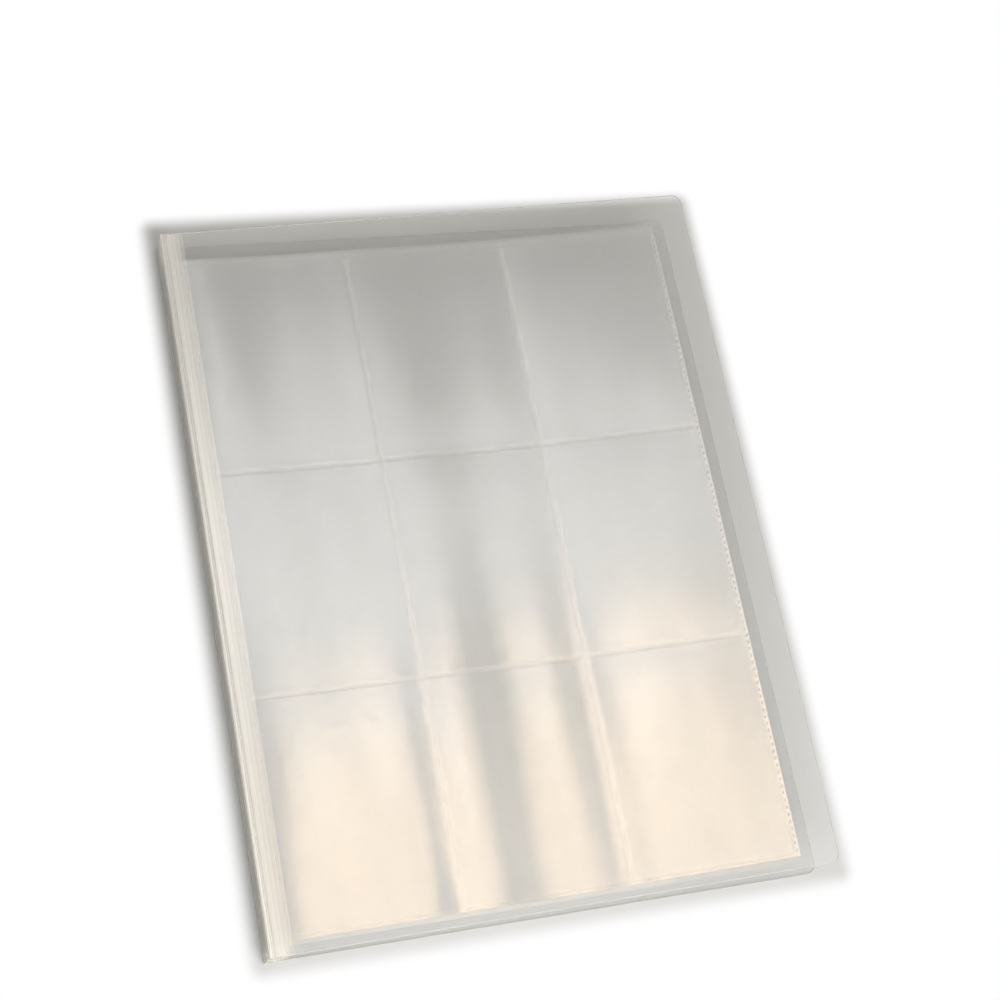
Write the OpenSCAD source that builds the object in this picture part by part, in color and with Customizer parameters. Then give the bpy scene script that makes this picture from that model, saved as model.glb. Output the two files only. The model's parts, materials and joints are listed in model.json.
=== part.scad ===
// Photo card album: a creased sheet cover, a binding strip inside the spine and film leaves
// with welded pockets. It lies on its back cover, and the empty leaves hold the front cover
// a little way open.
// +Z is up, +Y runs to the top of the pages and the spine is on the -X side.
// The origin is the centre of the underside.

/* [Pockets] */
// Clear width of one pocket, between its two upright seams
pocket_w = 67; // [60:1:80]
// Clear height of one pocket, from its seam up to the seam of the row above
pocket_h = 91; // [85:1:110]
// Pockets side by side on a leaf
columns = 3; // [2:1:4]
// Rows of pockets on a leaf
rows = 3; // [2:1:4]
// Width of a welded seam
seam_w = 2; // [1.5:0.1:4]
// Width of the pressed line along the middle of a seam
weld_w = 1.2; // [0.8:0.1:1.4]
// Depth of the pressed line
weld_d = 0.04; // [0.02:0.01:0.06]
// Height of the open mouth between a row of pockets and the row above
mouth_h = 1.5; // [1:0.1:4]
// Thickness of the film on the front of the pockets
pocket_film_t = 0.1; // [0.08:0.01:0.15]

/* [Leaves] */
// Number of leaves, half of them turning with each cover
leaf_count = 20; // [10:2:24]
// Thickness of the film at the back of a leaf
backing_t = 0.12; // [0.08:0.01:0.18]
// Width of the plain margin between the root of a leaf and its first seam
bind_w = 5; // [4:0.5:12]
// Height of the backing above the mouths of the top row
lip_h = 4; // [2:0.5:10]
// Diameter of the bead along the root of a leaf
root_d = 0.2; // [0.16:0.01:0.24]

/* [Cover] */
// Thickness of the album at the spine, over both covers
spine_w = 14; // [12:0.5:20]
// Thickness of the cover sheet
sheet_t = 0.8; // [0.5:0.05:1]
// Radius of the fore-edge corners
corner_r = 4; // [2:0.5:12]
// Bare cover beyond the fore edge of the leaves
fore_margin = 14.5; // [6:0.5:25]
// Bare cover above the leaves
head_margin = 12; // [4:0.5:20]
// Bare cover below the leaves
tail_margin = 5; // [3:0.5:20]
// Angle at which the relaxed front cover stands open, in degrees
splay = 3; // [0:0.5:5]

/* [Creases] */
// Gap around the rounded edge of the spine, in each crease
crease_gap = 0.05; // [0.03:0.01:0.1]
// Width of the scored line beside a crease
score_w = 0.5; // [0.3:0.1:0.8]
// Depth of the scored line
score_d = 0.2; // [0.1:0.05:0.3]
// Distance of the scored line from the axis of its crease
score_off = 1.4; // [1.2:0.1:3]

/* [Binding] */
// Thickness of the binding strip
strip_t = 0.6; // [0.4:0.1:1.5]
// Radius of the strip's long edges
strip_r = 0.3; // [0.1:0.05:0.4]
// Gap between the strip's long edges and each cover
strip_gap = 0.15; // [0.1:0.05:0.2]
// Length of strip beyond each end of the leaves
strip_over = 1.5; // [0:0.5:3]
// Gap around the bead of a leaf in its groove
root_gap = 0.05; // [0.03:0.01:0.06]

/* [Hidden] */
leaf_w = bind_w + columns * pocket_w + (columns + 1) * seam_w;
leaf_h = rows * (pocket_h + seam_w) + lip_h;
row_w = leaf_w - bind_w;
row_h = seam_w + pocket_h - mouth_h;
root_x = sheet_t + strip_t + root_d / 2;
cover_w = root_x + leaf_w + fore_margin;
cover_h = tail_margin + leaf_h + head_margin;
crease_r = sheet_t / 2;
stack_h = spine_w - 2 * sheet_t;
leaf_pitch = stack_h / leaf_count;
strip_w = stack_h - 2 * strip_gap;
// Length by which a cutting shape runs past the face it cuts
past = 1;
$fn = 64;

function leaf_z(k) = sheet_t + (k - 0.5) * leaf_pitch;
function leaf_splay(k) = splay * (k - 0.5) / leaf_count;
function leaf_name(k, piece) = str("leaf_", k < 10 ? "0" : "", k, "_", piece);

// Moves the album from its bottom corner at the spine to the centre of its underside
module centred() {
    translate([-cover_w / 2, -cover_h / 2, 0]) children();
}

// Extrudes an outline, drawn across the album in X and Z, up the page
module up_page(length) {
    translate([0, length, 0]) rotate([90, 0, 0]) linear_extrude(length) children();
}

// What a round of radius r takes off the corner of a sheet, with the corner at the origin
module corner_waste(r) {
    difference() {
        translate([-r, -r]) square(r + past);
        translate([-r, -r]) circle(r);
    }
}

// Half of the plane beyond the slanted line where a cover meets the spine inside a crease
module mitre_half() {
    polygon([[-sheet_t, -sheet_t], [sheet_t, sheet_t], [-sheet_t, sheet_t]]);
}

// Outline of a cover, from the axis of its crease to the fore edge
module cover_outline() {
    difference() {
        translate([crease_r, 0]) square([cover_w - crease_r, cover_h]);
        translate([cover_w, cover_h]) corner_waste(corner_r);
        translate([cover_w, 0]) mirror([0, 1]) corner_waste(corner_r);
    }
}

// Socket along a cover's crease edge, which wraps the rounded edge of the spine
module crease_socket() {
    circle(crease_r + crease_gap);
    translate([0, -crease_gap]) mitre_half();
}

// Scored line that lets the sheet fold, open towards the outer face
module score_line() {
    translate([score_off, -crease_r])
        polygon([[-score_w / 2, 0], [score_w / 2, 0], [0, score_d]]);
}

// A cover lying flat with its outer face down
module cover_panel() {
    difference() {
        linear_extrude(sheet_t) cover_outline();
        translate([crease_r, -past, crease_r]) up_page(cover_h + 2 * past) crease_socket();
        translate([crease_r, -past, crease_r]) up_page(cover_h + 2 * past) score_line();
    }
}

module back_cover() {
    color("lightgray") centred() cover_panel();
}

// The same sheet with its outer face up, turned open about its crease by the splay
module front_cover() {
    color("gainsboro") centred()
        translate([crease_r, 0, spine_w - crease_r]) rotate([0, -splay, 0])
        translate([-crease_r, 0, crease_r]) mirror([0, 0, 1]) cover_panel();
}

// Puts an outline at both creases, the upper one upside down
module at_creases() {
    translate([crease_r, crease_r]) children();
    translate([crease_r, spine_w - crease_r]) mirror([0, 1]) children();
}

// What is cut from the spine around its rounded edge, with the axis of the crease at the origin
module edge_waste() {
    difference() {
        union() {
            translate([-sheet_t, -sheet_t]) square([2 * sheet_t, sheet_t]);
            translate([0, crease_gap]) mirror([1, -1]) mitre_half();
        }
        circle(crease_r);
    }
}

// The spine, with a rounded edge at each crease that turns in a cover's socket
module spine_panel() {
    color("whitesmoke") centred() up_page(cover_h)
        difference() {
            square([sheet_t, spine_w]);
            at_creases() edge_waste();
        }
}

// Strip on the inside of the spine, with a groove for the root of each leaf
module binding_strip() {
    color("silver") centred()
        translate([0, tail_margin - strip_over, 0]) up_page(leaf_h + 2 * strip_over)
        difference() {
            translate([sheet_t, sheet_t + strip_gap]) square([strip_t, strip_w]);
            translate([sheet_t + strip_t, sheet_t + strip_gap + strip_w]) corner_waste(strip_r);
            translate([sheet_t + strip_t, sheet_t + strip_gap]) mirror([0, 1]) corner_waste(strip_r);
            for (k = [1 : leaf_count])
                translate([root_x, leaf_z(k)]) circle(d = root_d + 2 * root_gap);
        }
}

// Places a leaf drawn flat, with its root along Y at the origin
module at_leaf(k) {
    centred() translate([root_x, tail_margin, leaf_z(k)]) rotate([0, -leaf_splay(k), 0])
        children();
}

// Film at the back of a leaf, from the bead along its root to the fore edge
module leaf_backing(k) {
    color("aliceblue") at_leaf(k) up_page(leaf_h) {
        circle(d = root_d);
        translate([0, -backing_t / 2]) square([leaf_w, backing_t]);
    }
}

// One row of pockets: a film with a pressed line in each upright seam and in the bottom seam
module pocket_row() {
    line_at = (seam_w - weld_w) / 2;
    difference() {
        cube([row_w, row_h, pocket_film_t]);
        for (c = [0 : columns])
            translate([c * (pocket_w + seam_w) + line_at, -past, pocket_film_t - weld_d])
                cube([weld_w, row_h + 2 * past, past]);
        translate([-past, line_at, pocket_film_t - weld_d])
            cube([row_w + 2 * past, weld_w, past]);
    }
}

// Pocket rows on the front of a leaf, each open along its top
module leaf_pockets(k) {
    color("azure") at_leaf(k)
        for (r = [0 : rows - 1])
            translate([bind_w, r * (pocket_h + seam_w), backing_t / 2]) pocket_row();
}

back_cover();
front_cover();
spine_panel();
binding_strip();
for (k = [1 : leaf_count]) {
    leaf_backing(k);
    leaf_pockets(k);
}
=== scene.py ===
import json
import math

import bpy
import numpy as np
from mathutils import Matrix, Vector

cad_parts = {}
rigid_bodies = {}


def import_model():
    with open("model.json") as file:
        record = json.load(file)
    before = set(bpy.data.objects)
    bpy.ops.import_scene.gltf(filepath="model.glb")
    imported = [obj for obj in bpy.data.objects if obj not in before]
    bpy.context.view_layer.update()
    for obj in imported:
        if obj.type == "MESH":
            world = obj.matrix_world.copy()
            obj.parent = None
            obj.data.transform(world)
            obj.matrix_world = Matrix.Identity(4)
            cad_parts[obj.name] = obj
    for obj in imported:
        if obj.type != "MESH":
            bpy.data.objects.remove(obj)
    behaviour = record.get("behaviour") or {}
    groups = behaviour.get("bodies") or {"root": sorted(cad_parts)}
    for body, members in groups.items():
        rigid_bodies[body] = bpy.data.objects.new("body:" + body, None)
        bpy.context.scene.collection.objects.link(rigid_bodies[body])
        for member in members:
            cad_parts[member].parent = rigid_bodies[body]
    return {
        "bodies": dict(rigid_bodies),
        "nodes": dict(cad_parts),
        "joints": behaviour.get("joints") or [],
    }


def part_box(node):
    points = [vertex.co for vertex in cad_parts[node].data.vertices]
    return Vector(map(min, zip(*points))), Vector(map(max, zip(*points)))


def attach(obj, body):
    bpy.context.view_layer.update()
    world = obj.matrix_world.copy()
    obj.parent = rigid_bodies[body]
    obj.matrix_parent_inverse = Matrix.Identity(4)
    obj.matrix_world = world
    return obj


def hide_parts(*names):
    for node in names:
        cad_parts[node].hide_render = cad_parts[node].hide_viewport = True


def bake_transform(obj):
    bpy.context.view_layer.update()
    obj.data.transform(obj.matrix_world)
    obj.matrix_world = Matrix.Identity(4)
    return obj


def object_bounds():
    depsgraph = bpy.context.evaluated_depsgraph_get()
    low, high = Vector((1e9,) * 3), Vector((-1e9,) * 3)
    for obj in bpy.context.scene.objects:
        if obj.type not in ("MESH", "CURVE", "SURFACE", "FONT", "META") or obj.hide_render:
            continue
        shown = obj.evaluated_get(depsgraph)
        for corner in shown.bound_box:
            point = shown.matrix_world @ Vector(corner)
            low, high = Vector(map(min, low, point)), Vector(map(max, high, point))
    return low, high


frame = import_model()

bl_info = {
    "name": "Photo card album",
    "version": (1, 0, 0),
    "blender": (4, 5, 0),
    "location": "View3D > Sidebar > Album",
    "description": "Dresses a photo card album: frosted cover, creases, binding strip and pocket leaves",
    "category": "Object",
}

CAD_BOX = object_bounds()
MM = 0.001
PLASTIC_IOR = 1.49
PAGE_UP = np.array((0.0, 1.0, 0.0))
JOINTS = {joint["name"]: joint for joint in frame["joints"]}
LEAF_NAMES = sorted(name for name in frame["bodies"] if name.startswith("leaf_"))
BACK_LOW, BACK_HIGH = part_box("back_cover")
LEAF_LOW, LEAF_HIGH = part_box(LEAF_NAMES[0] + "_backing")
SHEET = BACK_HIGH.z - BACK_LOW.z
PAGE_LOW, PAGE_HIGH = BACK_LOW.y, BACK_HIGH.y

# Soft steps in the film, which show as grey streaks up the page. Each has its start, measured from
# the root of the leaf, its width, its rise towards the fore edge and how far it drifts from the bottom
# of the leaf to the top, all in millimetres, and the share of it that is gone at the top.
FILM_STEPS = [
    {"start": 66, "width": 6, "rise": 0.8, "drift": -1, "fading": 0.8},
    {"start": 84, "width": 30, "rise": -2.6, "drift": -3, "fading": 0.45},
    {"start": 131, "width": 9, "rise": -0.75, "drift": -5, "fading": 0.8},
    {"start": 146.5, "width": 8, "rise": 0.6, "drift": -6, "fading": 0.8},
]

# Share by which a step is wider at the top of the leaf
STEP_SPREAD = 0.4
# Soft ridge in the first column: its middle and half width across the leaf, in millimetres, and the
# heights, as shares of the leaf's, between which it rises and then fades
FILM_RIDGE = {"middle": 40, "half_width": 19, "rises": (0.02, 0.34), "fades": (0.4, 0.75)}
# Distances from the root between which the film comes free of the binding and starts to sag
FREE_FILM = (10 * MM, 38 * MM)
# Air left between the two films of a leaf where they are welded, so that their faces stay apart
FILM_GAP = 0.01 * MM
# Length of the slope down into a pressed line
PRESS_SLOPE = 0.4 * MM
# Length over which an empty pocket's film rises from its bottom seam
PUFF_RISE = 16 * MM
# Length over which it closes in towards its mouth, and the share of its rise that is gone there
MOUTH_REACH = 12 * MM
MOUTH_CLOSING = 0.6
# Share of the rise that is left beside the root, where the covers hold the leaves flat
ROOT_PUFF = 0.3
# A dot of a side weld: its length as a share of the dots' pitch, its width as a share of the weld's, and
# how far its crown, its brim and its root lie off the pressed film
DOT = {"length": 0.55, "width": 0.5, "crown": 0.07 * MM, "brim": 0.01 * MM, "root": -0.02 * MM}

# Share of the film's tone that is left in its duller bands, and how far its roughness drifts with them
FILM_SHADE = 0.98
FILM_DRIFT = 0.025
# How solid the pale band beside a crease looks, in strips from the crease outwards. The band is a painted
# highlight, densest and palest at the fold, for the light that the curved sheet catches there
HIGHLIGHT_BAND_ALPHAS = (0.66, 0.54, 0.4, 0.26)

# Angles above which an edge of the sheet or of the film is drawn sharp
SHEET_SHARP = math.radians(40)
FILM_SHARP = math.radians(50)

# Where each softbox hangs, the point that it faces and its width and height, in metres
SOFTBOXES = {
    "overhead_softbox": {"at": (0.4, 0.13, 1.95), "aim": (0, -0.1, 0), "size": (0.45, 0.5)},
    "page_softbox": {"at": (0.31, 0.62, 1.95), "aim": (0, 0.1, 0), "size": (0.65, 0.52)},
    "crease_softbox": {"at": (0.02, 0.78, 1.9), "aim": (-0.1, 0, 0), "size": (0.15, 1.1)},
    "front_softbox": {"at": (0.0, -0.4, 0.42), "aim": (0, -0.1, 0), "size": (0.35, 0.25)},
    "left_softbox": {"at": (-1.1, -0.3, 0.75), "aim": (0, 0, 0), "size": (0.8, 0.8)},
    "right_softbox": {"at": (1.2, -0.2, 0.7), "aim": (0, 0, 0), "size": (0.8, 0.8)},
}
# Parts of a unit vector between which the studio's ceiling begins, and between which it dims
CEILING_FROM = (0.35, 0.75)
DIM_FROM = (0.2, 0.55)
# How far the floor's shadow reaches past the album at the fore edge and the head, away from the
# nearest lamps, and the width of the band in which the floor then fades to white
SHADOW_CAST = Vector((10 * MM, 8 * MM, 0))
SHADOW_FADE = 9 * MM
# Half the length of the floor's sides, and its height, just clear of the album's underside
FLOOR_HALF = 6.0
FLOOR_AT = -0.3 * MM
# Size of the patches that the paint roller left on the floor
ROLLER_PATCH = 400 * MM


def linear(hex_code):
    """Linear colour of an sRGB hex code."""
    parts = [int(hex_code[i:i + 2], 16) / 255 for i in (1, 3, 5)]
    return tuple(c / 12.92 if c <= 0.04045 else ((c + 0.055) / 1.055) ** 2.4 for c in parts)


def smooth(low, high, value):
    """0 below low, 1 above high and a smooth rise between them."""
    t = np.clip((value - low) / (high - low), 0, 1)
    return t * t * (3 - 2 * t)


def colour_prop(name, description, hex_code):
    """A colour that a user would change."""
    return bpy.props.FloatVectorProperty(
        name=name, description=description, subtype="COLOR", size=3, min=0, max=1, default=linear(hex_code)
    )


def length_prop(name, description, default):
    """A length that a user would change, in metres."""
    return bpy.props.FloatProperty(
        name=name, description=description, unit="LENGTH", precision=5, min=0, default=default
    )


def power_prop(name, description, default):
    """A lamp's power that a user would change, in watts."""
    return bpy.props.FloatProperty(name=name, description=description, unit="POWER", min=0, default=default)


class AlbumCoverSettings(bpy.types.PropertyGroup):
    """Sizes and colours of the cover sheet, its creases and the binding strip"""

    sheet_colour: colour_prop("Sheet", "Colour of the frosted sheet", "#e2e2de")
    sheet_shade: colour_prop("Sheet shade", "Colour of the cloudier places in the sheet", "#dadad6")
    edge_colour: colour_prop("Sheet edge", "Colour of the sheet's cut edge", "#fbf9f3")
    # The fold's colour is also the tone of the pale band of painted highlight beside each fold
    fold_colour: colour_prop("Fold", "Colour of the sheet where folding has whitened it", "#f6f3ea")
    strip_colour: colour_prop("Strip", "Colour of the binding strip", "#e4e2d8")
    corner: length_prop("Corner", "Radius of the fore-edge corners", 4 * MM)
    edge_round: length_prop("Edge round", "Radius of the sheet's cut edges", 0.1 * MM)
    crease_reach: length_prop("Crease reach", "Width of the creased sheet on each side of a fold", 2.2 * MM)
    # The band is the paler strip of painted highlight beside each fold
    band_reach: length_prop("Band reach", "Distance of the pressed band's edge from its fold", 9 * MM)
    score_off: length_prop("Score offset", "Distance of a scored line from its fold", 1.4 * MM)
    score_width: length_prop("Score width", "Width of a scored line", 0.5 * MM)
    score_depth: length_prop("Score depth", "Depth of a scored line", 0.2 * MM)


class AlbumLeafSettings(bpy.types.PropertyGroup):
    """Sizes and colours of the pocket leaves"""

    columns: bpy.props.IntProperty(name="Columns", description="Pockets side by side on a leaf", default=3)
    rows: bpy.props.IntProperty(name="Rows", description="Rows of pockets on a leaf", default=3)
    pocket_width: length_prop("Pocket width", "Clear width of a pocket", 67 * MM)
    pocket_height: length_prop("Pocket height", "Clear height of a pocket", 91 * MM)
    seam: length_prop("Seam", "Width of a welded seam", 2 * MM)
    weld: length_prop("Weld", "Width of the pressed line in a seam", 1.2 * MM)
    weld_depth: length_prop("Weld depth", "Depth of the pressed line", 0.02 * MM)
    mouth: length_prop("Mouth", "Height of the open mouth above a row", 0.4 * MM)
    bind: length_prop("Binding margin", "Plain margin between the root and the first seam", 5 * MM)
    backing: length_prop("Backing", "Thickness of the backing film", 0.12 * MM)
    pocket_film: length_prop("Pocket film", "Thickness of the pocket film", 0.1 * MM)
    root_bead: length_prop("Root bead", "Diameter of the bead along the root", 0.2 * MM)
    slack: length_prop("Slack", "Drop of the top leaf below its flat place", 0.5 * MM)
    hollow: length_prop("Hollow", "Further sag in the middle of the top leaf", 2.7 * MM)
    ridge: length_prop("Ridge", "Height of the soft ridge in the first column of the top leaf", 0.7 * MM)
    rim: length_prop("Rim", "Thickness of the bead that cutting and sealing leave along an edge", 0.36 * MM)
    puff: length_prop("Puff", "Rise of a pocket film at the fore edge", 0.4 * MM)
    dot_pitch: length_prop("Dot pitch", "Distance between the dots of a side weld", 2.9 * MM)
    backing_colour: colour_prop("Backing", "Colour of the backing film", "#fdfdfb")
    pocket_colour: colour_prop("Pocket", "Colour of the pocket film", "#fdfdfb")
    weld_colour: colour_prop("Weld", "Colour of fused film", "#fdfcf9")
    edge_colour: colour_prop("Film edge", "Colour of the film's cut edges", "#e8e4da")


class AlbumStageSettings(bpy.types.PropertyGroup):
    """The floor, the light and the camera"""

    floor_colour: colour_prop("Floor", "Colour of the floor", "#d6d6d4")
    floor_shade: colour_prop("Floor shade", "Colour of the duller patches in the floor", "#d2d2d0")
    wall_colour: colour_prop("Walls", "Light from the walls of the studio", "#909090")
    ceiling_colour: colour_prop("Ceiling", "Light from the ceiling of the studio", "#b4b4b2")
    dim_colour: colour_prop("Dim ceiling", "Light from the ceiling beyond the top of the page", "#606262")
    lamp_colour: colour_prop("Lamp", "Colour of the overhead softbox", "#ffdcb2")
    fill_colour: colour_prop("Fill", "Colour of the other softboxes", "#fdfdff")
    lamp_power: power_prop("Lamp power", "Power of the overhead softbox", 2.5)
    page_power: power_prop("Page power", "Power of the softbox over the page's head", 2.1)
    crease_power: power_prop("Crease power", "Power of the narrow softbox over the creases", 0.5)
    front_power: power_prop("Front power", "Power of the softbox before the page's foot", 1.9)
    side_power: power_prop("Side power", "Power of each side softbox", 1.8)
    camera_at: bpy.props.FloatVectorProperty(
        name="Camera", description="Place of the camera", subtype="TRANSLATION", unit="LENGTH",
        default=(-0.2402, -0.2345, 0.7621),
    )
    camera_aim: bpy.props.FloatVectorProperty(
        name="Aim", description="Point in the middle of the picture", subtype="TRANSLATION", unit="LENGTH",
        default=(0.0085, 0.0198, 0.013),
    )
    camera_lean: bpy.props.FloatProperty(
        name="Lean", description="Turn of the picture's upright from the page's", subtype="ANGLE",
        default=math.radians(11.2),
    )
    lens: bpy.props.FloatProperty(
        name="Lens", description="Focal length in millimetres on a 36 mm sensor", unit="CAMERA", default=72.0
    )


def add_node(tree, kind, settings=None, inputs=None):
    """Adds a node, makes its settings and fills its inputs with values or with other nodes' outputs."""
    node = tree.nodes.new(kind)
    for name, value in (settings or {}).items():
        setattr(node, name, value)
    for name, value in (inputs or {}).items():
        if isinstance(value, bpy.types.NodeSocket):
            tree.links.new(value, node.inputs[name])
        else:
            node.inputs[name].default_value = value
    return node


def rgba(colour):
    """A colour as a node's socket takes it."""
    return (*colour, 1.0)


def plastic(name, tones, patch, roughness, values, grain=None):
    """A plastic whose tone and gloss drift in soft patches, with a fine grain in its face where one is given.

    patch holds the size of the patches along X, Y and Z, and grain the size and the depth of the grain.
    """
    material = bpy.data.materials.new(name)
    material.use_nodes = True
    tree = material.node_tree
    tree.nodes.clear()
    coords = add_node(tree, "ShaderNodeTexCoord").outputs["Object"]
    fields = []
    for size in [patch] + ([grain["size"]] if grain else []):
        # A noise of scale 1 has features about one unit across
        placed = add_node(tree, "ShaderNodeMapping", None, {"Vector": coords, "Scale": [1 / s for s in size]})
        field = add_node(
            tree, "ShaderNodeTexNoise", None,
            {"Vector": placed.outputs["Vector"], "Scale": 1.0, "Detail": 1.0},
        )
        fields.append(field.outputs["Fac"])
    tone = add_node(
        tree, "ShaderNodeMix", {"data_type": "RGBA"}, {0: fields[0], 6: rgba(tones[0]), 7: rgba(tones[1])}
    )
    gloss = add_node(
        tree, "ShaderNodeMapRange", None, {"Value": fields[0], "To Min": roughness[0], "To Max": roughness[1]}
    )
    inputs = {
        "Base Color": tone.outputs[2], "Roughness": gloss.outputs["Result"], "IOR": PLASTIC_IOR, **values,
    }
    if grain:
        bump = add_node(tree, "ShaderNodeBump", None, {"Height": fields[1], "Distance": grain["depth"]})
        inputs["Normal"] = bump.outputs["Normal"]
    shader = add_node(tree, "ShaderNodeBsdfPrincipled", None, inputs)
    add_node(tree, "ShaderNodeOutputMaterial", None, {"Surface": shader.outputs["BSDF"]})
    return material


def frosted_sheet(cover):
    """Extruded polypropylene sheet, matt on both faces."""
    # The embossed faces scatter light, so the sheet looks milky, with a broad soft sheen.
    # The grain of the real matt face is near 0.05 mm. It is drawn coarser, to show in the render.
    return plastic(
        "frosted_polypropylene_sheet", (cover.sheet_colour, cover.sheet_shade), (50 * MM,) * 3, (0.37, 0.43),
        {"Alpha": 0.17}, {"size": (0.8 * MM,) * 3, "depth": 0.005 * MM},
    )


def sheet_edge(cover):
    """Die-cut edge of the polypropylene sheet."""
    # Light that runs inside the sheet comes out at the cut, so the edge looks like a bright line.
    return plastic(
        "cut_polypropylene_edge", (cover.edge_colour, cover.sheet_colour), (2 * MM,) * 3, (0.4, 0.6),
        {"Alpha": 0.9},
    )


def whitened_fold(cover):
    """Polypropylene sheet that has been scored and folded."""
    # Bending opens tiny voids in the plastic, so a fold turns white and shows as a bright line.
    return plastic(
        "stress_whitened_polypropylene", (cover.fold_colour, cover.sheet_colour),
        (1.5 * MM, 9 * MM, 1.5 * MM), (0.45, 0.6), {"Alpha": 0.85},
    )


def painted_highlight_band(cover, name, alpha):
    """Polypropylene sheet beside a crease, paler than the sheet around it, as a painted highlight."""
    # The band is smoother, denser and paler than the sheet. Its pale tone and its Alpha, highest near the
    # fold, are a painted highlight for the light that the curved sheet catches there. It mirrors the light
    # above it as a bright line beside the fold. Alpha dims that gloss, and Metallic gives it back.
    return plastic(
        name, (cover.fold_colour, cover.edge_colour), (4 * MM, 50 * MM, 4 * MM), (0.18, 0.26),
        {"Alpha": alpha, "Metallic": 0.22},
    )


def binding_plastic(cover):
    """Natural polypropylene strip, pressed by the welding bar."""
    # Thicker than the sheet and full of fused roots, so it looks denser and creamier.
    return plastic(
        "welded_polypropylene_strip", (cover.strip_colour, cover.edge_colour), (3 * MM,) * 3, (0.4, 0.55),
        {"Alpha": 0.7}, {"size": (3 * MM,) * 3, "depth": 0.02 * MM},
    )


def film(name, tone, roughness, alpha, mirror, grain=None):
    """Cast polypropylene film, clear and soft, with faint bands along the way it was drawn."""
    # Both faces of every film mirror a few percent of the light, and forty films together mirror
    # most of it, so the stack shows the lamp as long soft streaks. Alpha dims the gloss with the
    # body, and Metallic gives the film that mirror share back.
    shade = [c * FILM_SHADE for c in tone]
    return plastic(
        name, (tone, shade), (14 * MM, 90 * MM, 14 * MM), (roughness - FILM_DRIFT, roughness + FILM_DRIFT),
        {"Alpha": alpha, "Metallic": mirror}, grain,
    )


def backing_film(leaf):
    """The film at the back of a leaf."""
    return film("clear_polypropylene_backing", leaf.backing_colour, roughness=0.2, alpha=0.12, mirror=0.45)


def pocket_film(leaf):
    """The glossier film on the front of the pockets."""
    # The chill roll leaves ripples along the film, which break its gloss a little.
    ripple = {"size": (6 * MM, 90 * MM, 6 * MM), "depth": 0.012 * MM}
    return film(
        "clear_polypropylene_pocket", leaf.pocket_colour,
        roughness=0.17, alpha=0.14, mirror=0.55, grain=ripple,
    )


def welded_film(leaf):
    """Two films fused by a heated bar."""
    # Fused film has lost its gloss and turned whiter, so the seams show as soft pale lines.
    # The bar's knurl is near 0.4 mm. It is drawn coarser, to show in the render.
    knurl = {"size": (0.9 * MM,) * 3, "depth": 0.003 * MM}
    return film("heat_welded_film", leaf.weld_colour, roughness=0.24, alpha=0.26, mirror=0.66, grain=knurl)


def film_edge(leaf):
    """Cut edge of the film."""
    # The cut shows the film edge-on, where it gathers light like the sheet's edge does.
    return film("cut_film_edge", leaf.edge_colour, roughness=0.3, alpha=0.45, mirror=0.2)


class PieceMesh:
    """Points and faces of one piece, gathered part by part, with a material slot for each face."""

    def __init__(self):
        self.points = []
        self.faces = []
        self.slots = []
        self.count = 0

    def add(self, points, faces, slots):
        """Adds one part. Faces count from the part's own first point."""
        self.points.append(np.asarray(points, float).reshape(-1, 3))
        self.faces += [[index + self.count for index in face] for face in faces]
        self.slots += list(slots)
        self.count += len(self.points[-1])

    def piece(self, name, materials, sharp_angle):
        """Makes the object, smooth apart from edges sharper than an angle."""
        mesh = bpy.data.meshes.new(name)
        mesh.from_pydata(np.concatenate(self.points).tolist(), [], self.faces)
        for material in materials:
            mesh.materials.append(material)
        mesh.polygons.foreach_set("material_index", self.slots)
        mesh.polygons.foreach_set("use_smooth", [True] * len(mesh.polygons))
        mesh.set_sharp_from_angle(angle=sharp_angle)
        mesh.update()
        piece = bpy.data.objects.new(name, mesh)
        bpy.context.scene.collection.objects.link(piece)
        return piece


def add_closed_sheet(part, top, bottom, slot_map, wall_slots):
    """Adds the closed sheet between two grids of points. slot_map holds a slot for each cell.

    wall_slots is one slot, or one for each wall: along the first row, the last column, the last row
    and the first column.
    """
    columns, rows = top.shape[:2]
    index = np.arange(columns * rows).reshape(columns, rows)
    below = columns * rows
    cells = np.stack([index[:-1, :-1], index[1:, :-1], index[1:, 1:], index[:-1, 1:]], -1).reshape(-1, 4)
    ring = np.concatenate([index[:-1, 0], index[-1, :-1], index[:0:-1, -1], index[0, :0:-1]])
    after = np.roll(ring, -1)
    walls = np.stack([ring + below, after + below, after, ring], -1)
    faces = np.concatenate([cells, cells[:, ::-1] + below, walls])
    lengths = [columns - 1, rows - 1, columns - 1, rows - 1]
    around = np.repeat(np.broadcast_to(wall_slots, 4), lengths)
    slots = np.concatenate([slot_map.ravel(), slot_map.ravel(), around])
    points = np.concatenate([top.reshape(-1, 3), bottom.reshape(-1, 3)])
    part.add(points, faces.tolist(), slots.tolist())


def add_prism(part, outline, low, high, slots, cap_slot):
    """Adds an outline of X and Z points, extruded up the page from low to high."""
    count = len(outline)
    points = [(x, y, z) for y in (low, high) for x, z in outline]
    sides = [[i, (i + 1) % count, (i + 1) % count + count, i + count] for i in range(count)]
    caps = [list(range(count))[::-1], list(range(count, 2 * count))]
    part.add(points, sides + caps, [*slots, cap_slot, cap_slot])


class CoverPanel:
    """A flat panel of the cover: its fold axis, the way it runs from there, and its outward side."""

    def __init__(self, fold, along, outward):
        self.fold = np.array(fold)
        self.along = np.array(along)
        self.outward = np.array(outward)

    def at(self, reach, up, out):
        """Points at a reach from the fold, a height up the page and an offset outwards."""
        reach, up, out = (np.asarray(a, float)[..., None] for a in (reach, up, out))
        return self.fold + self.along * reach + PAGE_UP * up + self.outward * out


def fold_of(joint):
    """A point on a fold's axis, half way up the page."""
    return np.array(JOINTS[joint]["pos_m"], float)


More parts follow.
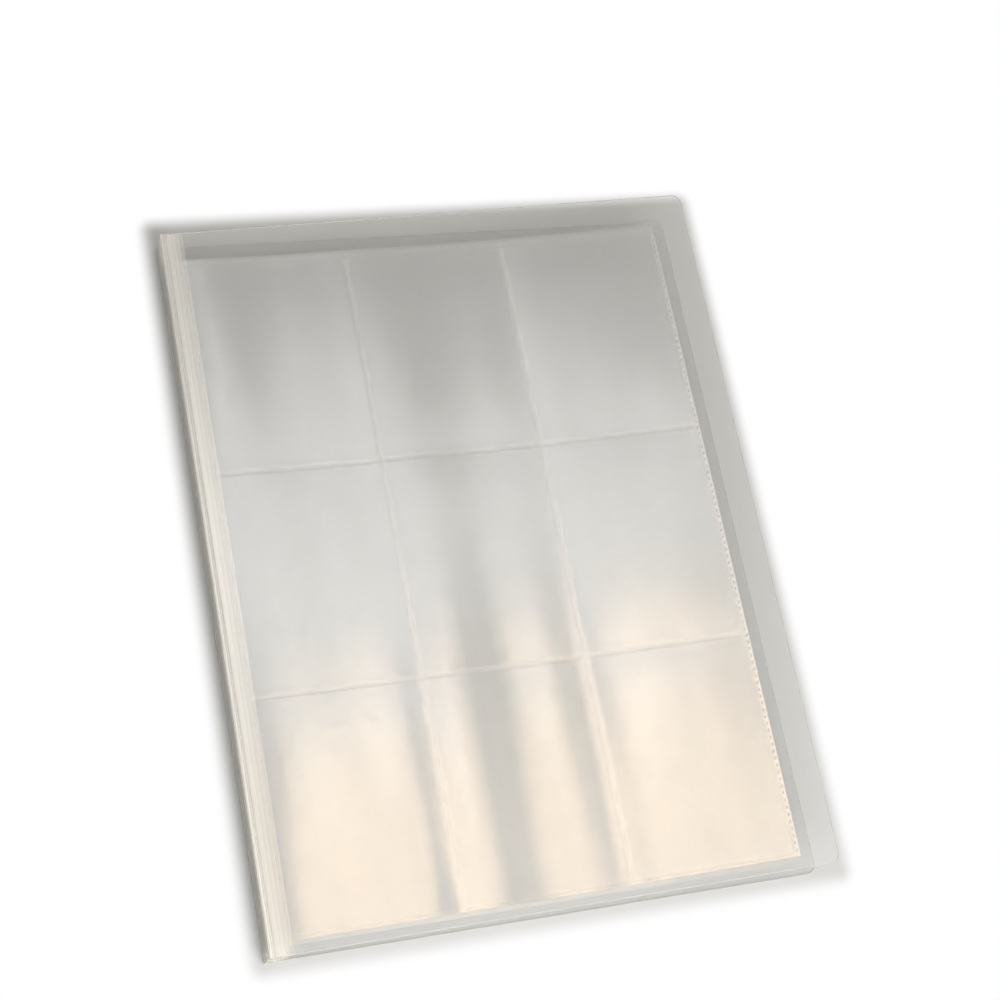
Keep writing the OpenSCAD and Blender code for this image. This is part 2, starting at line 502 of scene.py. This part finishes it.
def farthest(node, axis):
    """Mean place of the corners of a node that reach farthest along an axis."""
    corners = np.array([vertex.co for vertex in frame["nodes"][node].data.vertices])
    reach = corners @ np.array(axis, float)
    return corners[reach > reach.max() - SHEET / 4].mean(0)


def run_of(start, end):
    """Unit vector from start to end, square to the page's upright."""
    step = np.array(end) - np.array(start)
    step[1] = 0.0
    return step / np.linalg.norm(step)


FRONT_ALONG = run_of(fold_of("front_cover_fold"), farthest("front_cover", (1, 0, 0)))
BACK_PANEL = CoverPanel(fold_of("spine_fold"), (1.0, 0.0, 0.0), (0.0, 0.0, -1.0))
FRONT_PANEL = CoverPanel(fold_of("front_cover_fold"), FRONT_ALONG, np.cross(FRONT_ALONG, PAGE_UP))
SPINE_UP = CoverPanel(fold_of("spine_fold"), (0.0, 0.0, 1.0), (-1.0, 0.0, 0.0))
SPINE_DOWN = CoverPanel(fold_of("front_cover_fold"), (0.0, 0.0, -1.0), (-1.0, 0.0, 0.0))


def rounded_sheet(name, panel, length, cover, materials):
    """A cover sheet from its crease to the fore edge, with rounded fore-edge corners and softened cuts."""
    start = length - cover.corner
    arc = np.linspace(0, math.pi / 2, 7)
    band = np.linspace(cover.crease_reach, cover.band_reach, len(HIGHLIGHT_BAND_ALPHAS) + 1)
    straight = np.concatenate([band, np.linspace(cover.band_reach, start, 12)[1:]])
    reach = np.concatenate([straight, start + cover.corner * np.sin(arc[1:])])
    drop = np.concatenate([np.zeros(len(straight)), cover.corner * (1 - np.cos(arc[1:]))])
    share = np.linspace(0, 1, 13)
    up = PAGE_LOW + drop[:, None] + (PAGE_HIGH - PAGE_LOW - 2 * drop[:, None]) * share[None, :]
    across = np.repeat(reach[:, None], len(share), 1)
    outer = panel.at(across, up, np.full_like(up, SHEET / 2))
    inner = panel.at(across, up, np.full_like(up, -SHEET / 2))
    top, bottom = (outer, inner) if panel.outward[2] > 0 else (inner, outer)
    slots = np.zeros((len(reach) - 1, len(share) - 1), int)
    strips = len(HIGHLIGHT_BAND_ALPHAS)
    # The strips nearest the crease take the bands of painted highlight
    slots[:strips] = np.arange(2, 2 + strips)[:, None]
    part = PieceMesh()
    # The wall where the sheet runs on into its crease is no cut edge
    add_closed_sheet(part, top, bottom, slots, (1, 1, 1, 2))
    piece = part.piece(name, materials, SHEET_SHARP)
    soften_cuts(piece, cover.edge_round)
    return piece


def soften_cuts(piece, radius):
    """Rounds the sharp edges along a sheet's cuts, whose faces are in the second slot."""
    mesh = piece.data
    cuts = {key for face in mesh.polygons if face.material_index == 1 for key in face.edge_keys}
    weights = [float(edge.use_edge_sharp and edge.key in cuts) for edge in mesh.edges]
    mesh.attributes.new("bevel_weight_edge", "FLOAT", "EDGE").data.foreach_set("value", weights)
    bevel = piece.modifiers.new("softened_cuts", "BEVEL")
    bevel.width = radius
    bevel.segments = 2
    bevel.limit_method = "WEIGHT"
    bevel.material = 1


def crease_outline(first, second, cover):
    """Outline of a creased strip: out along the first panel, round the fold and along the second."""
    half = SHEET / 2
    score = [
        (cover.score_off - cover.score_width / 2, half),
        (cover.score_off, half - cover.score_depth),
        (cover.score_off + cover.score_width / 2, half),
    ]
    turn = math.acos(float(first.outward @ second.outward))
    steps = 6
    bend = []
    for i in range(steps + 1):
        share = i / steps
        out = first.outward * math.sin((1 - share) * turn) + second.outward * math.sin(share * turn)
        bend.append(second.fold + out / math.sin(turn) * half)
    inside = second.fold - (first.outward + second.outward) * half / (1 + math.cos(turn))
    outer_first = [first.at(reach, 0, out) for reach, out in [(cover.crease_reach, half), *score[::-1]]]
    outer_second = [second.at(reach, 0, out) for reach, out in [*score, (cover.crease_reach, half)]]
    inner = [second.at(cover.crease_reach, 0, -half), inside, first.at(cover.crease_reach, 0, -half)]
    points = [*outer_first, *bend, *outer_second, *inner]
    outline = [(float(p[0]), float(p[2])) for p in points]
    # Along the outline: sheet, score, sheet, fold, sheet, score, sheet, joint, inner faces and joint
    slots = [0, 2, 2, 0] + [2] * steps + [0, 2, 2, 0, 0, 0, 0, 0]
    return outline, slots


def make_crease(name, first, second, cover, materials):
    """One creased strip of the sheet, round the fold between the two panels that it joins."""
    outline, slots = crease_outline(first, second, cover)
    area = sum(x0 * z1 - x1 * z0 for (x0, z0), (x1, z1) in zip(outline, outline[1:] + outline[:1]))
    if area > 0:
        outline = outline[::-1]
        slots = slots[-2::-1] + slots[-1:]
    part = PieceMesh()
    add_prism(part, outline, PAGE_LOW, PAGE_HIGH, slots, 1)
    piece = part.piece(name, materials, SHEET_SHARP)
    start = first.at(cover.crease_reach, 0, 0)
    end = second.at(cover.crease_reach, 0, 0)
    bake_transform(piece)
    return piece


class ALBUM_OT_cover_sheets(bpy.types.Operator):
    """Makes the two cover sheets and the spine sheet"""

    bl_idname = "album.make_cover_sheets"
    bl_label = "Cover sheets"

    def execute(self, context):
        cover = context.scene.album_cover
        # Paler bands of painted highlight beside each fold, one for each strip
        bands = [
            painted_highlight_band(cover, "bar_pressed_polypropylene_%d" % number, alpha)
            for number, alpha in enumerate(HIGHLIGHT_BAND_ALPHAS, 1)
        ]
        materials = [frosted_sheet(cover), sheet_edge(cover), *bands]
        back_length = BACK_HIGH.x - BACK_PANEL.fold[0]
        for name, body, panel in (
            ("back_cover_sheet", "back_cover", BACK_PANEL),
            ("front_cover_sheet", "front_cover", FRONT_PANEL),
        ):
            sheet = rounded_sheet(name, panel, back_length, cover, materials)
            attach(sheet, body)
            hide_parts(body)
        self.make_spine(cover, materials)
        return {"FINISHED"}

    def make_spine(self, cover, materials):
        """The spine sheet, between the two creases."""
        height = SPINE_DOWN.fold[2] - SPINE_UP.fold[2]
        reach = np.linspace(cover.crease_reach, height - cover.crease_reach, 4)
        up = np.linspace(PAGE_LOW, PAGE_HIGH, 13)
        across, along = np.meshgrid(reach, up, indexing="ij")
        inner = SPINE_UP.at(across, along, np.full_like(along, -SHEET / 2))
        outer = SPINE_UP.at(across, along, np.full_like(along, SHEET / 2))
        part = PieceMesh()
        add_closed_sheet(part, outer, inner, np.zeros((len(reach) - 1, len(up) - 1), int), (1, 0, 1, 0))
        # The spine takes the second band of painted highlight, paler and denser than the sheet, which lifts
        # it out of the shade at the album's side
        spine = part.piece("spine_sheet", [materials[3], materials[1]], SHEET_SHARP)
        soften_cuts(spine, cover.edge_round)
        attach(spine, "spine")
        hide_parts("spine_panel")


class ALBUM_OT_creases(bpy.types.Operator):
    """Makes the two creases that join the cover sheets to the spine"""

    bl_idname = "album.make_creases"
    bl_label = "Creases"

    def execute(self, context):
        cover = context.scene.album_cover
        # The creased strips take the first, palest band of painted highlight
        names = ("bar_pressed_polypropylene_1", "cut_polypropylene_edge")
        materials = [*(bpy.data.materials[name] for name in names), whitened_fold(cover)]
        make_crease("back_crease", BACK_PANEL, SPINE_UP, cover, materials)
        make_crease("front_crease", SPINE_DOWN, FRONT_PANEL, cover, materials)
        return {"FINISHED"}


class ALBUM_OT_binding(bpy.types.Operator):
    """Gives the binding strip its finish"""

    bl_idname = "album.dress_binding_strip"
    bl_label = "Binding strip"

    def execute(self, context):
        strip = frame["nodes"]["binding_strip"]
        if not strip.material_slots:
            raise RuntimeError("the binding strip has no material slot")
        finish = binding_plastic(context.scene.album_cover)
        for place in strip.material_slots:
            place.material = finish
        return {"FINISHED"}


class LeafShape:
    """Where one leaf lies, and how far its film sags below its flat place."""

    def __init__(self, name, settings):
        self.name = name
        self.settings = settings
        number = int(name.split("_")[1])
        self.share = number / len(LEAF_NAMES)
        root = fold_of(name + "_turn")
        self.root = np.array((root[0], LEAF_LOW.y, root[2]))
        fore = farthest(name + "_backing", (1, 0, 0))
        self.width = float(np.linalg.norm((fore - root)[[0, 2]]))
        self.height = LEAF_HIGH.y - LEAF_LOW.y
        self.along = run_of(root, fore)
        self.normal = np.cross(self.along, PAGE_UP)

    def sag(self, u, v):
        """Offset of the film from its flat place, never upwards, and none at the root."""
        across, rise = u / self.width, v / self.height
        drop = -4 * self.settings.hollow * across * (1 - across)
        for step in FILM_STEPS:
            start = (step["start"] + step["drift"] * rise) * MM
            width = step["width"] * MM * (1 + STEP_SPREAD * rise)
            drop = drop + step["rise"] * MM * (1 - step["fading"] * rise) * smooth(0, 1, (u - start) / width)
        # Above the bottom row the first column stands up in a soft ridge
        ridge = smooth(*FILM_RIDGE["rises"], rise) * (1 - smooth(*FILM_RIDGE["fades"], rise))
        aside = (u - FILM_RIDGE["middle"] * MM) / (FILM_RIDGE["half_width"] * MM)
        drop = drop + self.settings.ridge * ridge * np.exp(-(aside ** 2))
        free = smooth(*FREE_FILM, u)
        return self.share * free * (np.minimum(drop, 0) - self.settings.slack)

    def at(self, u, v, lift):
        """Points at places u and v on the sagging leaf, with a lift off its middle."""
        offset = self.sag(u, v) + lift
        return (
            self.root
            + self.along * np.asarray(u)[..., None]
            + PAGE_UP * np.asarray(v)[..., None]
            + self.normal * np.asarray(offset)[..., None]
        )


def seam_stations(start, leaf):
    """Places across one seam, with steps down into its pressed line."""
    line = (leaf.seam - leaf.weld) / 2
    down = [0, line, line + PRESS_SLOPE]
    return [start + place for place in down] + [start + leaf.seam - place for place in reversed(down)]


def pressed(places, starts, leaf):
    """1 where a place lies on the pressed line of a seam, 0 elsewhere."""
    line = (leaf.seam - leaf.weld) / 2
    on = np.zeros(len(places))
    for start in starts:
        edge = line + PRESS_SLOPE / 2
        on[(places > start + edge) & (places < start + leaf.seam - edge)] = 1
    return on


def in_seam(places, starts, leaf):
    """True for each step between two places that lies within a seam."""
    middle = (places[1:] + places[:-1]) / 2
    return np.array([any(start < m < start + leaf.seam for start in starts) for m in middle])


def between(low, high, count):
    """Places inside a span, closer together near its ends."""
    share = (1 - np.cos(np.linspace(0, math.pi, count + 2)[1:-1])) / 2
    return list(low + (high - low) * share)


def seam_starts(leaf):
    """Where each upright seam starts, measured from the root of the leaf."""
    return [leaf.bind + c * (leaf.pocket_width + leaf.seam) for c in range(leaf.columns + 1)]


def film_stations(leaf):
    """Places across a leaf, from its first seam to the fore edge, which both of its films share."""
    places = []
    for start in seam_starts(leaf):
        if places:
            places += between(start - leaf.pocket_width, start, 10)
        places += seam_stations(start, leaf)
    return np.array(places)


def backing_part(shape, leaf):
    """The backing film of a leaf, with the bead along its root."""
    radius = leaf.root_bead / 2
    bead = np.array([-1.0, -0.7, 0.0, 0.7]) * radius
    margin = [0.8 * MM, 2.5 * MM]
    flat = [*margin, *film_stations(leaf)]
    u = np.concatenate([bead, flat])
    round_half = np.sqrt(np.maximum(radius ** 2 - bead ** 2, (0.2 * radius) ** 2))
    half = np.concatenate([round_half, np.full(len(flat), leaf.backing / 2)])
    v = np.linspace(0, shape.height, 26)
    across, up = np.meshgrid(u, v, indexing="ij")
    thick = np.repeat(half[:, None], len(v), 1)
    slots = np.zeros((len(u) - 1, len(v) - 1), int)
    slots[u[:-1] < leaf.bind - 1e-6] = 1
    part = PieceMesh()
    add_closed_sheet(part, shape.at(across, up, thick), shape.at(across, up, -thick), slots, 2)
    return part


def add_row(part, shape, leaf, row):
    """Adds one row of pockets: a film that rises between its seams and is open along its top."""
    seams = seam_starts(leaf)
    bottom = row * (leaf.pocket_height + leaf.seam)
    top = bottom + leaf.seam + leaf.pocket_height - leaf.mouth
    u = film_stations(leaf)
    v = np.array(seam_stations(bottom, leaf) + between(bottom + leaf.seam, top, 8) + [top])
    across, up = np.meshgrid(u, v, indexing="ij")
    pitch = leaf.pocket_width + leaf.seam
    share = np.clip(((across - leaf.bind) % pitch - leaf.seam) / leaf.pocket_width, 0, 1)
    rise = smooth(bottom + leaf.seam, bottom + leaf.seam + PUFF_RISE, up)
    closing = 1 - MOUTH_CLOSING * smooth(top - MOUTH_REACH, top, up)
    room = ROOT_PUFF + (1 - ROOT_PUFF) * across / shape.width
    puff = leaf.puff * room * np.sin(math.pi * share) * rise * closing
    press = np.maximum(pressed(u, seams, leaf)[:, None], pressed(v, [bottom], leaf)[None, :])
    floor = leaf.backing / 2 + FILM_GAP + puff
    roof = floor + leaf.pocket_film - leaf.weld_depth * press
    slots = (in_seam(u, seams, leaf)[:, None] | in_seam(v, [bottom], leaf)[None, :]).astype(int)
    # The edge along the mouth is left as clear as the film
    add_closed_sheet(part, shape.at(across, up, roof), shape.at(across, up, floor), slots, (2, 2, 0, 2))


def add_weld_dots(part, shape, leaf):
    """Adds the row of dots that the welding wheel leaves along each side seam."""
    sides = 6
    turn = np.arange(sides) * 2 * math.pi / sides
    base = leaf.backing / 2 + FILM_GAP + leaf.pocket_film - leaf.weld_depth
    length, width = DOT["length"] * leaf.dot_pitch, DOT["width"] * leaf.weld
    crown, brim, root = (base + DOT[place] for place in ("crown", "brim", "root"))
    faces = [[i, (i + 1) % sides, sides] for i in range(sides)]
    faces += [[(i + 1) % sides, i, sides + 1] for i in range(sides)]
    for u in (leaf.bind + leaf.seam / 2, shape.width - leaf.seam / 2):
        for v in np.arange(leaf.dot_pitch, shape.height - leaf.dot_pitch, leaf.dot_pitch):
            across = np.append(u + np.cos(turn) * width / 2, [u, u])
            up = np.append(v + np.sin(turn) * length / 2, [v, v])
            lift = np.append(np.full(sides, brim), [crown, root])
            part.add(shape.at(across, up, lift), faces, [2] * len(faces))


def add_rim(part, shape, leaf):
    """Adds the bead of sealed film along the bottom edge of a leaf."""
    half = leaf.rim / 2
    reach = np.array([-0.6, 0.3, 1.2, 1.8]) * half
    thick = np.array([0.35, 1.0, 0.8, 0.3]) * half
    middle = leaf.pocket_film / 2
    u, v = np.meshgrid(film_stations(leaf), reach, indexing="ij")
    deep = np.broadcast_to(thick, u.shape)
    cells = np.full((u.shape[0] - 1, u.shape[1] - 1), 2)
    add_closed_sheet(part, shape.at(u, v, middle + deep), shape.at(u, v, middle - deep), cells, 2)


class ALBUM_OT_leaves(bpy.types.Operator):
    """Makes the backing film and the pocket films of every leaf"""

    bl_idname = "album.make_leaves"
    bl_label = "Leaves"

    def execute(self, context):
        if not LEAF_NAMES:
            raise RuntimeError("the frame has no leaves")
        leaf = context.scene.album_leaves
        seam, edge = welded_film(leaf), film_edge(leaf)
        backing_slots = [backing_film(leaf), seam, edge]
        pocket_slots = [pocket_film(leaf), seam, edge]
        for name in LEAF_NAMES:
            shape = LeafShape(name, leaf)
            backing = backing_part(shape, leaf).piece(name + "_backing_film", backing_slots, FILM_SHARP)
            part = PieceMesh()
            for row in range(leaf.rows):
                add_row(part, shape, leaf, row)
            add_weld_dots(part, shape, leaf)
            add_rim(part, shape, leaf)
            pockets = part.piece(name + "_pocket_films", pocket_slots, FILM_SHARP)
            for piece, node, slot in (
                (backing, "_backing", "backing_film"),
                (pockets, "_pockets", "pocket_film"),
            ):
                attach(piece, name)
                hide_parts(name + node)
        return {"FINISHED"}


def seen_directly(tree):
    """1 for what is seen, directly, in a mirror or through a clear piece, and 0 for what only gives light."""
    path = add_node(tree, "ShaderNodeLightPath")
    seen = path.outputs["Is Camera Ray"]
    for ray in ("Is Glossy Ray", "Is Transmission Ray"):
        seen = add_node(
            tree, "ShaderNodeMath", {"operation": "MAXIMUM"}, {0: seen, 1: path.outputs[ray]}
        ).outputs["Value"]
    return seen


def studio_world(stage):
    """Pale walls, white where they are seen, and a grey ceiling that is dimmer beyond the top of the page."""
    world = bpy.data.worlds.new("studio")
    world.use_nodes = True
    tree = world.node_tree
    way = add_node(tree, "ShaderNodeTexCoord").outputs["Generated"]
    parts = add_node(tree, "ShaderNodeSeparateXYZ", None, {"Vector": way})
    beyond = add_node(
        tree, "ShaderNodeMapRange", {"interpolation_type": "SMOOTHSTEP"},
        {"Value": parts.outputs["Y"], "From Min": DIM_FROM[0], "From Max": DIM_FROM[1]},
    )
    ceiling = add_node(
        tree, "ShaderNodeMix", {"data_type": "RGBA"},
        {0: beyond.outputs["Result"], 6: rgba(stage.ceiling_colour), 7: rgba(stage.dim_colour)},
    )
    high = add_node(
        tree, "ShaderNodeMapRange", {"interpolation_type": "SMOOTHSTEP"},
        {"Value": parts.outputs["Z"], "From Min": CEILING_FROM[0], "From Max": CEILING_FROM[1]},
    )
    walls = add_node(
        tree, "ShaderNodeMix", {"data_type": "RGBA"},
        {0: seen_directly(tree), 6: rgba(stage.wall_colour), 7: rgba(linear("#ffffff"))},
    )
    room = add_node(
        tree, "ShaderNodeMix", {"data_type": "RGBA"},
        {0: high.outputs["Result"], 6: walls.outputs[2], 7: ceiling.outputs[2]},
    )
    tree.links.new(room.outputs[2], tree.nodes["Background"].inputs["Color"])
    bpy.context.scene.world = world


def pale_floor(stage):
    """Pale painted floor."""
    # It takes the object's shadow, and beside the album it fades to white for what is seen directly,
    # in a mirror or through a clear piece.
    material = bpy.data.materials.new("pale_painted_floor")
    material.use_nodes = True
    tree = material.node_tree
    tree.nodes.clear()
    coords = add_node(tree, "ShaderNodeTexCoord").outputs["Object"]
    roller = add_node(
        tree, "ShaderNodeTexNoise", None, {"Vector": coords, "Scale": 1 / ROLLER_PATCH, "Detail": 1.0}
    )
    paint = add_node(
        tree, "ShaderNodeMix", {"data_type": "RGBA"},
        {0: roller.outputs["Fac"], 6: rgba(stage.floor_colour), 7: rgba(stage.floor_shade)},
    )
    shader = add_node(
        tree, "ShaderNodeBsdfPrincipled", None,
        {"Base Color": paint.outputs[2], "Roughness": 0.9, "Specular IOR Level": 0.0},
    )
    low, high = CAD_BOX[0], CAD_BOX[1] + SHADOW_CAST
    middle, halves = (low + high) / 2, (high - low) / 2
    beside = coords
    for operation, other in (
        ("SUBTRACT", (middle.x, middle.y, 0)), ("ABSOLUTE", (0, 0, 0)),
        ("SUBTRACT", (halves.x, halves.y, 0)), ("MAXIMUM", (0, 0, 0)),
    ):
        step = add_node(tree, "ShaderNodeVectorMath", {"operation": operation}, {0: beside, 1: other})
        beside = step.outputs["Vector"]
    beside = add_node(tree, "ShaderNodeVectorMath", {"operation": "LENGTH"}, {0: beside})
    faded = add_node(
        tree, "ShaderNodeMapRange", {"interpolation_type": "SMOOTHSTEP"},
        {"Value": beside.outputs["Value"], "From Min": 0.0, "From Max": SHADOW_FADE},
    )
    share = add_node(
        tree, "ShaderNodeMath", {"operation": "MULTIPLY"},
        {0: seen_directly(tree), 1: faded.outputs["Result"]},
    )
    white = add_node(tree, "ShaderNodeEmission")
    mixed = add_node(
        tree, "ShaderNodeMixShader", None,
        {0: share.outputs["Value"], 1: shader.outputs["BSDF"], 2: white.outputs["Emission"]},
    )
    add_node(tree, "ShaderNodeOutputMaterial", None, {"Surface": mixed.outputs["Shader"]})
    return material


def softbox(name, colour, power):
    """A rectangular softbox that faces a point."""
    at, aim = (Vector(SOFTBOXES[name][key]) for key in ("at", "aim"))
    data = bpy.data.lights.new(name, "AREA")
    data.shape = "RECTANGLE"
    data.size, data.size_y = SOFTBOXES[name]["size"]
    data.color = colour
    data.energy = power
    lamp = bpy.data.objects.new(name, data)
    lamp.location = at
    lamp.rotation_euler = (aim - at).to_track_quat("-Z", "Y").to_euler()
    lamp.visible_camera = False
    bpy.context.scene.collection.objects.link(lamp)


def picture_camera(stage):
    """The camera, with the picture's upright leaning from the page's."""
    at, aim = Vector(stage.camera_at), Vector(stage.camera_aim)
    back = (at - aim).normalized()
    lean = Vector((math.tan(stage.camera_lean), 1.0, 0.0))
    right = lean.cross(back).normalized()
    turn = Matrix((right, back.cross(right), back)).transposed()
    data = bpy.data.cameras.new("camera")
    data.lens = stage.lens
    data.sensor_width = 36.0
    camera = bpy.data.objects.new("camera", data)
    camera.matrix_world = Matrix.Translation(at) @ turn.to_4x4()
    bpy.context.scene.collection.objects.link(camera)
    bpy.context.scene.camera = camera


class ALBUM_OT_stage(bpy.types.Operator):
    """Sets the floor, the light and the camera"""

    bl_idname = "album.set_stage"
    bl_label = "Stage"

    def execute(self, context):
        stage = context.scene.album_stage
        scene = context.scene
        scene.view_settings.view_transform = "Standard"
        # Sight and light pass two faces of every film in the stack
        scene.cycles.transparent_max_bounces = 192
        scene.cycles.max_bounces = 20
        scene.cycles.diffuse_bounces = 10
        scene.cycles.glossy_bounces = 10
        picture_camera(stage)
        studio_world(stage)
        softbox("overhead_softbox", stage.lamp_colour, stage.lamp_power)
        softbox("page_softbox", stage.fill_colour, stage.page_power)
        softbox("crease_softbox", stage.fill_colour, stage.crease_power)
        softbox("front_softbox", stage.fill_colour, stage.front_power)
        softbox("left_softbox", stage.fill_colour, stage.side_power)
        softbox("right_softbox", stage.fill_colour, stage.side_power)
        part = PieceMesh()
        around = ((-1, -1), (1, -1), (1, 1), (-1, 1))
        part.add([(x * FLOOR_HALF, y * FLOOR_HALF, FLOOR_AT) for x, y in around], [[0, 1, 2, 3]], [0])
        part.piece("floor", [pale_floor(stage)], SHEET_SHARP)
        return {"FINISHED"}


class ALBUM_PT_build(bpy.types.Panel):
    """Lists the steps that make the album"""

    bl_label = "Photo card album"
    bl_idname = "ALBUM_PT_build"
    bl_space_type = "VIEW_3D"
    bl_region_type = "UI"
    bl_category = "Album"

    def draw(self, context):
        for operator in OPERATORS:
            self.layout.operator(operator.bl_idname)
        for group in SETTINGS:
            settings = getattr(context.scene, group)
            box = self.layout.box()
            for name in settings.bl_rna.properties.keys():
                if name not in ("rna_type", "name"):
                    box.prop(settings, name)


OPERATORS = [ALBUM_OT_stage, ALBUM_OT_cover_sheets, ALBUM_OT_creases, ALBUM_OT_binding, ALBUM_OT_leaves]
SETTINGS = {
    "album_cover": AlbumCoverSettings,
    "album_leaves": AlbumLeafSettings,
    "album_stage": AlbumStageSettings,
}


def register():
    for group in (*SETTINGS.values(), *OPERATORS, ALBUM_PT_build):
        bpy.utils.register_class(group)
    for name, group in SETTINGS.items():
        setattr(bpy.types.Scene, name, bpy.props.PointerProperty(type=group))


def unregister():
    for name in SETTINGS:
        delattr(bpy.types.Scene, name)
    for group in (ALBUM_PT_build, *reversed(OPERATORS), *reversed(SETTINGS.values())):
        bpy.utils.unregister_class(group)


def main():
    register()
    bpy.ops.album.set_stage()
    bpy.ops.album.make_cover_sheets()
    bpy.ops.album.make_creases()
    bpy.ops.album.dress_binding_strip()
    bpy.ops.album.make_leaves()


if __name__ == "__main__":
    main()
